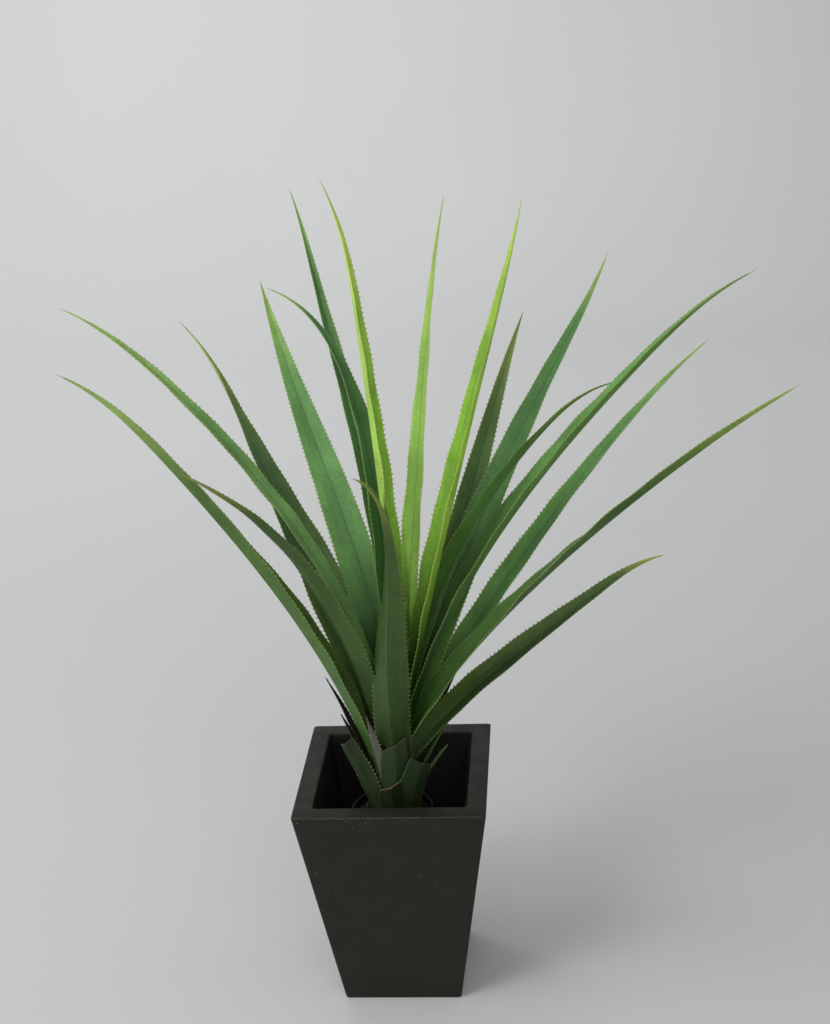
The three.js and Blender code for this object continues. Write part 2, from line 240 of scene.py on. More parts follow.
def finish(name, build, specular=0.5, through=0.0):
    """A material: build(tree) gives its colour, roughness, relief height and relief depth in metres.
    through is the share of light that sinks in and can come out on the far face of a thin piece."""
    made = bpy.data.materials.new(name)
    made.use_nodes = True
    tree = made.node_tree
    tree.nodes.clear()
    colour, rough, height, depth = build(tree)
    bump = add(tree, "ShaderNodeBump", {"Strength": 1.0, "Distance": depth, "Height": height})
    shader = add(tree, "ShaderNodeBsdfPrincipled", {
        "Base Color": colour,
        "Roughness": rough,
        "Normal": bump.outputs[0],
        "Specular IOR Level": specular,
        "Subsurface Weight": through,
        "Subsurface Radius": SINK_BY_COLOUR,
        "Subsurface Scale": SINK_DEPTH,
    })
    add(tree, "ShaderNodeOutputMaterial", {"Surface": shader.outputs[0]})
    return made


def make_mottle():
    """Two colours in soft patches with a fine grain over them, and the grain alone as a height."""
    tree, given, out = group(
        "mottle",
        [
            ("Dark", "NodeSocketColor", (0, 0, 0, 1)),
            ("Light", "NodeSocketColor", (1, 1, 1, 1)),
            ("Patches", "NodeSocketFloat", 10.0),
            ("Grain", "NodeSocketFloat", 500.0),
            ("Grain Share", "NodeSocketFloat", 0.3),
        ],
        [("Colour", "NodeSocketColor"), ("Height", "NodeSocketFloat")],
    )
    place = place_of(tree)
    patches = spread(tree, noise(tree, place, given["Patches"], 4.0), 0.35, 0.65)
    grain = noise(tree, place, given["Grain"], 2.0)
    share = add(tree, "ShaderNodeMix", {0: given["Grain Share"], 2: patches, 3: grain}).outputs[0]
    tree.links.new(blend(tree, share, given["Dark"], given["Light"]), out["Colour"])
    tree.links.new(grain, out["Height"])


def planter_finish(tree):
    """Nearly black with a warm cast and fine pits, painted darker down the hole as shade, pale where the
    rim's outer edge is rubbed and where the front is chipped."""
    base = use(tree, "mottle", {
        "Dark": RESIN_DARK,
        "Light": RESIN_LIGHT,
        "Patches": 14.0,
        "Grain": 700.0,
        "Grain Share": 0.6,
    })
    place = place_of(tree)
    ragged = shades(tree, noise(tree, place, 90.0, 5.0, 0.7), 0.15, 1.0)
    worn = calc(tree, "MULTIPLY", spread(tree, mark(tree, "worn"), 0.2, 0.8), ragged)
    # Painted shade: down the hole the colour is darkened towards nearly black for the shade inside the
    # planter.
    hole_shade = calc(tree, "MULTIPLY", mark(tree, "inside"), HOLE_SHADE_SHARE)
    colour = blend(tree, hole_shade, base["Colour"], RESIN_SHADED_HOLE)
    colour = blend(tree, calc(tree, "MULTIPLY", worn, WORN_SHARE), colour, RESIN_WORN)
    to_chip = 1.0
    for chip in CHIPS:
        away = add(tree, "ShaderNodeVectorMath", {0: place, 1: chip}, operation="DISTANCE").outputs["Value"]
        to_chip = calc(tree, "MINIMUM", to_chip, away)
    ragged_size = calc(tree, "MULTIPLY", noise(tree, place, 900.0), CHIP_SIZE)
    chipped = calc(tree, "LESS_THAN", to_chip, ragged_size)
    colour = blend(tree, calc(tree, "MULTIPLY", chipped, CHIPPED_SHARE), colour, RESIN_CHIPPED)
    rough = shades(tree, noise(tree, place, 30.0, 4.0), 0.50, 0.66)
    return colour, rough, base["Height"], RESIN_RELIEF


make_mottle()
planter_points, planter_marks = planter_surface()
piece(
    "planter_shell",
    planter_points,
    ringed(*planter_points.shape[:2]),
    finish("planter_resin", planter_finish, specular=0.3),
    "planter",
    planter_marks,
)

# Riser block
# A plain block of light grey foam on the planter's floor that lifts the grower's pot up to its place.
# It is cut from sheet with a hot wire, which leaves a fine beaded face.
BEADS_PER_METRE = 320.0
FOAM_PALE = (0.50, 0.49, 0.46, 1)
FOAM_DARK = (0.34, 0.33, 0.31, 1)
FOAM_RELIEF = 0.0006


def foam_finish(tree):
    """Pale grey beads pressed together, a little darker where they meet."""
    beads = add(tree, "ShaderNodeTexVoronoi", {"Vector": place_of(tree), "Scale": BEADS_PER_METRE})
    share = spread(tree, beads.outputs["Distance"], 0.0, 0.6)
    colour = blend(tree, share, FOAM_PALE, FOAM_DARK)
    return colour, 0.9, calc(tree, "SUBTRACT", 1.0, share), FOAM_RELIEF


def dress(node, material):
    """A CAD node keeps its shape and gets a finish."""
    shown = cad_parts[node]
    shown.data.materials.clear()
    shown.data.materials.append(material)


dress("riser_block", finish("riser_foam", foam_finish))

# Grower's pot
# A thin round nursery pot, blow moulded in nearly black plastic, with a turned-over rim and a plain
# band under it. It stands on the riser block, a little left of the planter's middle.
POT_X = -0.007
POT_RIM_RADIUS = 0.0535
POT_RIM_HEIGHT = 0.240
POT_RIM_BAND = 0.010
POT_HEIGHT = 0.095
POT_FOOT_RADIUS = 0.037
POT_WALL = 0.002
POT_LIP = 0.0015
POT_BEND = 0.00045
POT_CELL = 0.004
POT_CAP = 0.004
POT_TURNS = 96
PLASTIC_DARK = (0.0065, 0.0060, 0.0062, 1)
PLASTIC_LIGHT = (0.0120, 0.0105, 0.0105, 1)
DUST = (0.12, 0.10, 0.09, 1)
DUST_SHARE = 0.3
PLASTIC_RELIEF = 0.0003


def turned(path, turns):
    """A path of radius and height carried round the pot's upright axis, one ring per path point."""
    angle = np.linspace(0, 2 * math.pi, turns, endpoint=False)
    radius = path[:, 0, None]
    x = POT_X + radius * np.cos(angle)
    y = radius * np.sin(angle)
    z = np.broadcast_to(path[:, 1, None], x.shape)
    return np.stack([x, y, z], axis=-1)


def pot_surface():
    """The pot's outline carried round: foot, wall, band, turned rim, and down the inside to the floor."""
    foot = POT_RIM_HEIGHT - POT_HEIGHT
    band = POT_RIM_HEIGHT - POT_RIM_BAND
    wall = POT_RIM_RADIUS - POT_LIP
    path = soft_path(
        [
            (POT_CAP, foot),
            (POT_FOOT_RADIUS, foot),
            (wall, band),
            (POT_RIM_RADIUS, band),
            (POT_RIM_RADIUS, POT_RIM_HEIGHT),
            (wall - POT_WALL, POT_RIM_HEIGHT),
            (wall - POT_WALL, band),
            (POT_FOOT_RADIUS - POT_WALL, foot + POT_WALL),
            (POT_CAP, foot + POT_WALL),
        ],
        POT_BEND,
        POT_CELL,
    )
    return turned(path, POT_TURNS)


def make_flecks():
    """Small scattered spots: a share of the cells of a sponge pattern holds one spot each."""
    tree, given, out = group(
        "flecks",
        [
            ("Per Metre", "NodeSocketFloat", 60.0),
            ("Size", "NodeSocketFloat", 0.1),
            ("Share", "NodeSocketFloat", 0.2),
        ],
        [("Mask", "NodeSocketFloat")],
    )
    cells = add(tree, "ShaderNodeTexVoronoi", {
        "Vector": place_of(tree),
        "Scale": given["Per Metre"],
    })
    near = calc(tree, "LESS_THAN", cells.outputs["Distance"], given["Size"])
    pick = add(tree, "ShaderNodeSeparateColor", {0: cells.outputs["Color"]}).outputs[0]
    kept = calc(tree, "LESS_THAN", pick, given["Share"])
    tree.links.new(calc(tree, "MULTIPLY", near, kept), out["Mask"])


def pot_finish(tree):
    """Nearly black with specks of pale dust."""
    base = use(tree, "mottle", {
        "Dark": PLASTIC_DARK,
        "Light": PLASTIC_LIGHT,
        "Patches": 40.0,
        "Grain": 900.0,
        "Grain Share": 0.2,
    })
    dust = use(tree, "flecks", {"Per Metre": 260.0, "Size": 0.16, "Share": 0.08})["Mask"]
    colour = blend(tree, calc(tree, "MULTIPLY", dust, DUST_SHARE), base["Colour"], DUST)
    return colour, 0.5, base["Height"], PLASTIC_RELIEF


make_flecks()
pot_points = pot_surface()
piece(
    "nursery_pot",
    pot_points,
    ringed(*pot_points.shape[:2]),
    finish("pot_plastic", pot_finish, specular=0.15),
    "grower_pot",
)

# Soil
# A dark peaty mix that fills the grower's pot to just under its rim, heaped a little round the stem.
# Its top is loose crumbs with some bark and a few white grains.
SOIL_BELOW_RIM = 0.007
SOIL_FIT = 0.0003
SOIL_HEAP = 0.0012
SOIL_EDGE = 0.002
SOIL_BEND = 0.0008
SOIL_CELL = 0.0011
SOIL_TURNS = 220
SOIL_FOOT_CAP = 0.002
SOIL_TOP_CAP = 0.0006
CRUMBS = 420
CRUMB_SEED = 11
CRUMB_RADII = (0.0014, 0.0046)
CRUMB_FLATNESS = 0.7
CRUMB_TALLEST = 0.0028
CRUMB_BED = 0.0012
CRUMB_WALL_FADE = 12
PEAT_DARK = (0.005, 0.0038, 0.0030, 1)
PEAT_LIGHT = (0.020, 0.013, 0.009, 1)
BARK = (0.050, 0.030, 0.018, 1)
WHITE_GRAIN = (0.42, 0.41, 0.38, 1)
PEAT_RELIEF = 0.0012


def soil_surface():
    """A turned plug whose top is raised by many small domes, each a crumb at its own place and size. A dome
    is size * sqrt(1 - (away / size)^2), flattened, and the tallest one over a point counts."""
    foot = POT_RIM_HEIGHT - POT_HEIGHT + POT_WALL + SOIL_FIT
    band = POT_RIM_HEIGHT - POT_RIM_BAND
    radius = POT_RIM_RADIUS - POT_LIP - POT_WALL - SOIL_FIT
    top = POT_RIM_HEIGHT - SOIL_BELOW_RIM
    path = soft_path(
        [
            (SOIL_FOOT_CAP, foot),
            (POT_FOOT_RADIUS - POT_WALL - SOIL_FIT, foot),
            (radius, band),
            (radius, top - SOIL_EDGE),
            (SOIL_TOP_CAP, top),
        ],
        SOIL_BEND,
        SOIL_CELL,
    )
    points = turned(path, SOIL_TURNS)
    random = np.random.default_rng(CRUMB_SEED)
    reach = radius * np.sqrt(random.uniform(0, 1, CRUMBS))
    angle = random.uniform(0, 2 * math.pi, CRUMBS)
    centre = np.stack([POT_X + reach * np.cos(angle), reach * np.sin(angle)], axis=-1)
    size = random.uniform(*CRUMB_RADII, CRUMBS)
    upper = points[..., 2] > top - SOIL_EDGE - 0.0001
    flat = points[upper][:, :2]
    away = np.linalg.norm(flat[:, None] - centre[None], axis=-1) / size
    rise = (np.sqrt(np.clip(1 - away ** 2, 0, 1)) * size * CRUMB_FLATNESS).max(axis=1)
    inner = np.clip(1 - np.linalg.norm(flat - [POT_X, 0], axis=-1) / radius, 0, 1)
    edge = np.clip(inner * CRUMB_WALL_FADE, 0, 1)
    points[upper, 2] += edge * (np.minimum(rise, CRUMB_TALLEST) - CRUMB_BED) + SOIL_HEAP * inner
    return points


def soil_finish(tree):
    """Peat browns from crumb to crumb, lighter bark, and a few white grains."""
    place = place_of(tree)
    crumbs = add(tree, "ShaderNodeTexVoronoi", {"Vector": place, "Scale": 240.0})
    tone = add(tree, "ShaderNodeSeparateColor", {0: crumbs.outputs["Color"]}).outputs[0]
    colour = blend(tree, tone, PEAT_DARK, PEAT_LIGHT)
    bark = spread(tree, noise(tree, place, 130.0), 0.62, 0.68)
    colour = blend(tree, bark, colour, BARK)
    grains = use(tree, "flecks", {"Per Metre": 190.0, "Size": 0.26, "Share": 0.03})["Mask"]
    colour = blend(tree, grains, colour, WHITE_GRAIN)
    return colour, 0.95, noise(tree, place, 900.0, 4.0), PEAT_RELIEF


soil_points = soil_surface()
piece(
    "potting_soil",
    soil_points,
    ringed(*soil_points.shape[:2]),
    finish("soil_peat", soil_finish, specular=0.2),
    "soil",
)

# Stem
# The stump that carries every blade: thick in the soil, narrowing through the crown and leaning a little to
# the right. Rings of old leaf scars go round it.
SOIL_LINE = 0.238
STEM_X = -0.005
STEM_LEAN = 0.115
STEM_RADII = np.array([0.022, 0.024, 0.020, 0.015, 0.010, 0.007, 0.004])
STEM_HEIGHTS = np.array([0.175, 0.236, 0.262, 0.300, 0.345, 0.385, 0.408])
STEM_CELL = 0.0012
STEM_TURNS = 72
SCAR_PITCH = 0.0075
SCAR_WAVE = 0.35
SCAR_DEPTH = 0.07
BARE_DARK = (0.022, 0.024, 0.010, 1)
BARE_LIGHT = (0.060, 0.080, 0.025, 1)
BARE_RELIEF = 0.0006


def stem_x(height):
    """The middle of the stem at a height."""
    return STEM_X + STEM_LEAN * (height - SOIL_LINE)


def stem_surface():
    """The stem's radius carried round its leaning middle, narrower by the square of the way up each scar."""
    height = np.arange(STEM_HEIGHTS[0], STEM_HEIGHTS[-1], STEM_CELL)
    radius = np.interp(height, STEM_HEIGHTS, STEM_RADII)
    angle = np.linspace(0, 2 * math.pi, STEM_TURNS, endpoint=False)
    scar = ((height[:, None] / SCAR_PITCH + SCAR_WAVE * np.sin(2 * angle)) % 1.0) ** 2
    reach = radius[:, None] * (1 - SCAR_DEPTH * scar)
    x = stem_x(height)[:, None] + reach * np.cos(angle)
    y = reach * np.sin(angle)
    return np.stack([x, y, np.broadcast_to(height[:, None], x.shape)], axis=-1)


def stem_finish(tree):
    """Olive green in soft patches of dark and light."""
    base = use(tree, "mottle", {
        "Dark": BARE_DARK,
        "Light": BARE_LIGHT,
        "Patches": 60.0,
        "Grain": 800.0,
        "Grain Share": 0.3,
    })
    return base["Colour"], 0.65, base["Height"], BARE_RELIEF


stem_points = stem_surface()
piece(
    "agave_stem",
    stem_points,
    ringed(*stem_points.shape[:2]),
    finish("stem_skin", stem_finish),
    "stem",
)

# Long leaves
# Eighteen long blades moulded in soft matt plastic, each folded along its keel like a channel and set with
# small teeth that point to the tip. They clasp the stem in a spiral, the youngest at the top.
KEEL_THICKNESS = 0.0022
EDGE_THICKNESS = 0.0010
TIP_WIDTH = 0.0018
BELLY = 0.32
TAPER_POWER = 1.45
TOOTH_PITCH = 0.0062
TOOTH_HEIGHT = 0.0026
TOOTH_STEPS = np.array([0.0, 0.46, 0.66, 0.82, 0.88])
TOOTH_RISE = np.array([0.0, 0.0, 0.35, 1.0, 0.25])
TOOTH_PLACES = [0.0, 0.45, 0.75, 0.93, 0.985]
TOOTH_SIZES = [1.2, 1.1, 0.85, 0.45, 0.0]
TOOTH_UNEVENNESS = (0.55, 1.15)
FIRST_TEETH = 0.04
TOOTHED_SHARE = 0.985
LAST_RINGS = [0.99, 0.995, 1.0]
POINT_SHARE = 0.02
POINT_LEAST = 0.15
ACROSS = np.array([1.0, 0.93, 0.70, 0.35, 0.09, 0.0, -0.09, -0.35, -0.70, -0.93, -1.0])
CREASE_SOFTNESS = 0.07
KEEL_SPREAD = 0.12
KEEL_POWER = 1.3
RIPPLE = 0.0007
RIPPLE_LENGTHS = [[0.011, 0.019], [0.012, 0.021]]
SEAT_GAP = 0.0003
KEEL_STEPS = 960
HOOK_START = 0.75
VEINS_PER_METRE = (900.0, 9.0, 50.0)
PATCHES_PER_METRE = 16.0
SPECKLES_PER_METRE = 170.0
VEIN_SHADES = (0.87, 1.11)
PATCH_SHADES = (0.84, 1.13)
SPECKLE_SHADES = (0.90, 1.09)
# Painted crease shade on the inner face and painted keel highlight on the outer face.
CREASE_PAINTED_SHADE_AND_HIGHLIGHT = (0.72, 1.22)
CREASE_WIDTH = (0.01, 0.10)
# On most tones the foot colour is darker than the blade, partly as painted shade deep in the crown.
FOOT_FADES = (0.06, 0.42)
TIP_REACHED = 0.99
EDGE_PALING = 0.35
TOOTH_PALING = 0.65
PALING_FADES = (0.6, 0.9)
END_BAND = (0.985, 0.998)
SKIN_ROUGHNESS = (0.46, 0.60)
BLADE_RELIEF = 0.0005
LEAF_SPECULAR = 0.18

# LEMON and LIME outer colours are painted lighter than their inner ones, as painted light on outer faces that
# lie in shade.
LEMON = dict(inner=(0.24, 0.47, 0.065), outer=(0.34, 0.56, 0.095), foot=(0.045, 0.15, 0.017),
             tip=(0.50, 0.66, 0.18), margin=(0.55, 0.60, 0.16), fading=0.60)
LIME = dict(inner=(0.23, 0.45, 0.058), outer=(0.34, 0.57, 0.080), foot=(0.035, 0.13, 0.012),
            tip=(0.42, 0.61, 0.14), margin=(0.55, 0.60, 0.16), fading=0.60)
PALE = dict(inner=(0.28, 0.49, 0.095), outer=(0.33, 0.56, 0.10), foot=(0.32, 0.56, 0.11),
            tip=(0.31, 0.45, 0.090), margin=(0.50, 0.58, 0.17), fading=0.60)
BRIGHT = dict(inner=(0.20, 0.38, 0.135), outer=(0.22, 0.42, 0.12), foot=(0.14, 0.30, 0.08),
              tip=(0.32, 0.47, 0.16), margin=(0.30, 0.36, 0.12), fading=0.60)
JADE = dict(inner=(0.115, 0.25, 0.090), outer=(0.12, 0.26, 0.085), foot=(0.13, 0.27, 0.08),
            tip=(0.26, 0.44, 0.15), margin=(0.30, 0.40, 0.15), fading=0.80)
SEA = dict(inner=(0.155, 0.335, 0.112), outer=(0.11, 0.26, 0.05), foot=(0.018, 0.070, 0.008),
           tip=(0.31, 0.47, 0.14), margin=(0.24, 0.36, 0.12), fading=0.72)
LAKE = dict(inner=(0.16, 0.33, 0.10), outer=(0.10, 0.24, 0.036), foot=(0.018, 0.070, 0.005),
            tip=(0.20, 0.34, 0.10), margin=(0.22, 0.33, 0.11), fading=0.72)
DEEP = dict(inner=(0.088, 0.215, 0.068), outer=(0.12, 0.27, 0.06), foot=(0.12, 0.27, 0.06),
            tip=(0.30, 0.42, 0.12), margin=(0.26, 0.34, 0.12), fading=0.84)
SAGE = dict(inner=(0.105, 0.195, 0.085), outer=(0.105, 0.195, 0.085), foot=(0.08, 0.13, 0.045),
            tip=(0.34, 0.42, 0.12), margin=(0.19, 0.21, 0.10), fading=0.62)
MOSS = dict(inner=(0.085, 0.165, 0.055), outer=(0.085, 0.165, 0.055), foot=(0.05, 0.10, 0.02),
            tip=(0.21, 0.28, 0.09), margin=(0.19, 0.23, 0.09), fading=0.66)
REED = dict(inner=(0.066, 0.138, 0.034), outer=(0.066, 0.138, 0.032), foot=(0.05, 0.12, 0.020),
            tip=(0.32, 0.46, 0.14), margin=(0.19, 0.22, 0.09), fading=0.62)
MID = dict(inner=(0.066, 0.138, 0.032), outer=(0.068, 0.140, 0.032), foot=(0.05, 0.12, 0.022),
           tip=(0.28, 0.40, 0.10), margin=(0.24, 0.30, 0.12), fading=0.66)
IVY = dict(inner=(0.042, 0.12, 0.011), outer=(0.05, 0.14, 0.015), foot=(0.05, 0.17, 0.012),
           tip=(0.17, 0.30, 0.042), margin=(0.15, 0.24, 0.050), fading=0.70)
OLIVE = dict(inner=(0.050, 0.100, 0.022), outer=(0.048, 0.094, 0.024), foot=(0.022, 0.046, 0.009),
             tip=(0.22, 0.26, 0.060), margin=(0.14, 0.16, 0.065), fading=0.74)
FERN = dict(inner=(0.072, 0.130, 0.040), outer=(0.072, 0.130, 0.038), foot=(0.11, 0.19, 0.060),
            tip=(0.40, 0.47, 0.10), margin=(0.15, 0.17, 0.065), fading=0.82)

# Angles are in degrees: `azimuth` and `seat` round the stem, `rise` from the horizon at the foot, middle and
# tip, `fold` of each half from flat, `roll` about the keel at the foot and tip, `hook` and `turn` at the tip.
LEAVES = {
    "leaf_01": dict(azimuth=181, seat=160, height=0.277, length=0.675, width=0.059, fold=31,
                    rise=(76, 58, 54), hook=-24, turn=11, roll=(-6, 37), base=1.25, tone=REED),
    "leaf_02": dict(azimuth=174, seat=214, height=0.346, length=0.695, width=0.032, fold=14,
                    rise=(82, 56, 39), hook=-17, turn=-4, roll=(-1, -18), base=0.6, tone=BRIGHT),
    "leaf_03": dict(azimuth=196, seat=201, height=0.310, length=0.490, width=0.046, fold=14,
                    rise=(81, 65, 27), hook=6, turn=-6, roll=(28, 41), base=0.9, tone=OLIVE),
    "leaf_04": dict(azimuth=146, seat=104, height=0.335, length=0.600, width=0.062, fold=14,
                    rise=(63, 62, 75), hook=-31, turn=25, roll=(-41, 29), base=0.4, tone=SAGE),
    "leaf_05": dict(azimuth=118, seat=127, height=0.368, length=0.635, width=0.051, fold=15,
                    rise=(79, 44, 64), hook=-5, turn=3, roll=(-44, -14), base=0.4, tone=SEA),
    "leaf_06": dict(azimuth=102, seat=163, height=0.392, length=0.690, width=0.036, fold=39,
                    rise=(84, 52, 96), hook=-30, turn=37, roll=(36, -15), base=0.4, tone=JADE),
    "leaf_07": dict(azimuth=103, seat=261, height=0.378, length=0.620, width=0.045, fold=19,
                    rise=(79, 67, 14), hook=-8, turn=44, roll=(33, 29), base=0.4, tone=DEEP),
    "leaf_08": dict(azimuth=255, seat=288, height=0.300, length=0.430, width=0.054, fold=27,
                    rise=(62, 98, 62), hook=-34, turn=-45, roll=(18, -32), base=0.7, tone=OLIVE),
    "leaf_09": dict(azimuth=173, seat=266, height=0.393, length=0.665, width=0.036, fold=46,
                    rise=(91, 86, 85), hook=-26, turn=-27, roll=(-11, 2), base=0.4, tone=LEMON),
    "leaf_10": dict(azimuth=66, seat=73, height=0.384, length=0.640, width=0.032, fold=14,
                    rise=(76, 78, 78), hook=-4, turn=-27, roll=(-14, -16), base=0.4, tone=PALE),
    "leaf_11": dict(azimuth=4, seat=-26, height=0.386, length=0.655, width=0.041, fold=46,
                    rise=(77, 75, 74), hook=5, turn=5, roll=(22, 28), base=0.4, tone=LIME),
    "leaf_12": dict(azimuth=55, seat=36, height=0.337, length=0.575, width=0.041, fold=18,
                    rise=(61, 61, 57), hook=-6, turn=1, roll=(10, 50), base=0.4, tone=MOSS),
    "leaf_13": dict(azimuth=42, seat=68, height=0.351, length=0.660, width=0.047, fold=14,
                    rise=(61, 57, 48), hook=17, turn=-10, roll=(30, 7), base=0.75, tone=DEEP),
    "leaf_14": dict(azimuth=29, seat=51, height=0.373, length=0.525, width=0.049, fold=16,
                    rise=(77, 54, 34), hook=-34, turn=-14, roll=(9, -25), base=0.65, tone=IVY),
    "leaf_15": dict(azimuth=19, seat=-27, height=0.350, length=0.735, width=0.055, fold=28,
                    rise=(74, 49, 44), hook=-21, turn=-12, roll=(-9, -12), base=0.6, tone=LAKE),
    "leaf_16": dict(azimuth=31, seat=82, height=0.325, length=0.665, width=0.035, fold=23,
                    rise=(51, 45, 34), hook=-4, turn=-2, roll=(25, 4), base=0.45, tone=SEA),
    "leaf_17": dict(azimuth=-16, seat=-13, height=0.345, length=0.690, width=0.049, fold=18,
                    rise=(58, 45, 38), hook=-4, turn=-1, roll=(39, -45), base=0.7, tone=MID),
    "leaf_18": dict(azimuth=3, seat=54, height=0.300, length=0.435, width=0.041, fold=29,
                    rise=(52, 38, 37), hook=-32, turn=12, roll=(29, 22), base=1.25, tone=FERN),
}


def leaf_share(s, base):
    """Half-width as a share of the widest: it swells to the belly and runs out to the point from there."""
    below = np.clip((BELLY - s) / BELLY, 0, 1)
    above = np.clip((s - BELLY) / (1 - BELLY), 0, 1)
    return np.where(s < BELLY, base + (1 - base) * (1 - below ** 2), 1 - above ** TAPER_POWER)


def keel(blade, s):
    """Points of the keel and the blade's sideways and upward directions at shares s of its length.
    The heading turns with s squared, the rise is a parabola through three angles, and the last quarter
    bends by the hook; the points are the running sum of the direction from the seat on the stem."""
    def headings(share):
        foot, middle, tip = blade["rise"]
        bend = np.clip((share - HOOK_START) / (1 - HOOK_START), 0, 1) ** 2
        rise = foot * (1 - share) * (1 - 2 * share) + middle * 4 * share * (1 - share)
        rise = np.radians(rise + tip * share * (2 * share - 1) + blade["hook"] * bend)
        return rise, np.radians(blade["azimuth"] + blade["turn"] * share ** 2)

    def direction(rise, heading):
        level = np.cos(rise)
        return np.stack([level * np.cos(heading), level * np.sin(heading), np.sin(rise)], axis=-1)

    knots = np.linspace(0, 1, KEEL_STEPS + 1)
    steps = direction(*headings((knots[1:] + knots[:-1]) / 2)) * blade["length"] / KEEL_STEPS
    walked = np.concatenate([np.zeros((1, 3)), np.cumsum(steps, axis=0)])
    fold = math.radians(blade["fold"])
    around = math.radians(blade["seat"])
    foot = blade["height"]
    reach = np.interp(foot, STEM_HEIGHTS, STEM_RADII) * (1 + math.tan(fold) ** 2 / 2) + SEAT_GAP
    start = np.array([stem_x(foot) + reach * math.cos(around), reach * math.sin(around), foot])
    points = start + np.stack([np.interp(s, knots, walked[:, i]) for i in range(3)], axis=-1)
    rise, heading = headings(s)
    side = np.stack([-np.sin(heading), np.cos(heading), np.zeros_like(s)], axis=-1)
    normal = np.cross(direction(rise, heading), side)
    roll = np.radians(blade["roll"][0] + (blade["roll"][1] - blade["roll"][0]) * s)[:, None]
    return points, side * np.cos(roll) + normal * np.sin(roll), normal * np.cos(roll) - side * np.sin(roll)


def tooth_heights(s, half, random):
    """How far each margin moves out at each ring: a saw of uneven teeth, smaller to the tip and none at the
    seat."""
    count = len(s) // len(TOOTH_STEPS)
    present = np.clip(s / FIRST_TEETH, 0, 1) * np.interp(s, TOOTH_PLACES, TOOTH_SIZES)
    sizes = random.uniform(*TOOTH_UNEVENNESS, (count, 2)).repeat(len(TOOTH_STEPS), axis=0)
    sizes = np.concatenate([sizes, np.zeros((len(LAST_RINGS), 2))])
    saw = np.append(np.tile(TOOTH_RISE, count), np.zeros(len(LAST_RINGS)))
    saw = saw * present * np.minimum(TOOTH_HEIGHT, 0.5 * half)
    return saw[:, None] * sizes


def ripples(metres, half, random):
    """Two sine waves along each margin, their height in proportion to the blade's width."""
    phase = random.uniform(0, 2 * math.pi, 4).reshape(2, 2)
    waves = np.sin(metres[:, None, None] / RIPPLE_LENGTHS + phase).sum(axis=-1)
    return waves * RIPPLE * (half / half.max())[:, None]


def blade_surface(blade, share, seed, sharp=True):
    """Rings across a folded blade: a V with a soft crease for the inner face and the same V, thicker at the
    keel, for the outer. The rim of each ring moves out where a tooth stands, and the margins ripple. A slant
    moves one margin forward and the other back by the cube of s, which turns the cut end of a stub."""
    random = np.random.default_rng(seed)
    length = blade["length"]
    count = int(TOOTHED_SHARE * length / TOOTH_PITCH)
    toothed = (np.arange(count)[:, None] + TOOTH_STEPS).ravel() / count * TOOTHED_SHARE
    s = np.append(toothed, LAST_RINGS)
    points, side, up = keel(blade, s)
    point = np.clip((1 - s) / POINT_SHARE, POINT_LEAST, 1) if sharp else np.ones_like(s)
    half = np.maximum(blade["width"] / 2 * share(s), TIP_WIDTH / 2) * point
    teeth = tooth_heights(s, half, random)
    wave = ripples(s * length, half, random)

    t = np.abs(ACROSS)
    left = ACROSS[None] > 0
    tooth = np.where(left, teeth[:, :1], teeth[:, 1:]) * (t == 1)
    ripple = np.where(left, wave[:, :1], wave[:, 1:]) * t ** 2
    reach = half[:, None] * t + tooth
    soft = np.sqrt(t ** 2 + CREASE_SOFTNESS ** 2) - CREASE_SOFTNESS
    fold = math.radians(blade["fold"])
    across = np.sign(ACROSS) * reach * math.cos(fold)
    above = (half[:, None] * soft / soft.max() + tooth) * math.sin(fold) + ripple
    keel_depth = np.minimum(KEEL_THICKNESS, EDGE_THICKNESS + KEEL_SPREAD * half)[:, None]
    depth = (EDGE_THICKNESS + (keel_depth - EDGE_THICKNESS) * (1 - t) ** KEEL_POWER) * point[:, None]
    slant = math.tan(math.radians(blade.get("slant", 0))) * s ** 3
    ahead = np.cross(side, up) * slant[:, None]
    inner = points[:, None] + (side + ahead)[:, None] * across[..., None] + up[:, None] * above[..., None]
    outer = inner - up[:, None] * depth[..., None]
    rings = np.concatenate([inner, outer[:, ::-1]], axis=1)

    lateral = ACROSS * (1 + tooth / TOOTH_HEIGHT)
    signed = np.concatenate([lateral, lateral[:, ::-1]], axis=1)
    back = np.repeat([[0.0, 1.0]], len(s), axis=0).repeat(len(ACROSS), axis=1)
    along = np.broadcast_to(s[:, None], signed.shape)
    where = np.stack([signed, along, back], axis=-1)
    fibre = np.stack([signed * half[:, None], along * length, back], axis=-1)
    return rings, {"blade": where.reshape(-1, 3), "fibre": fibre.reshape(-1, 3)}


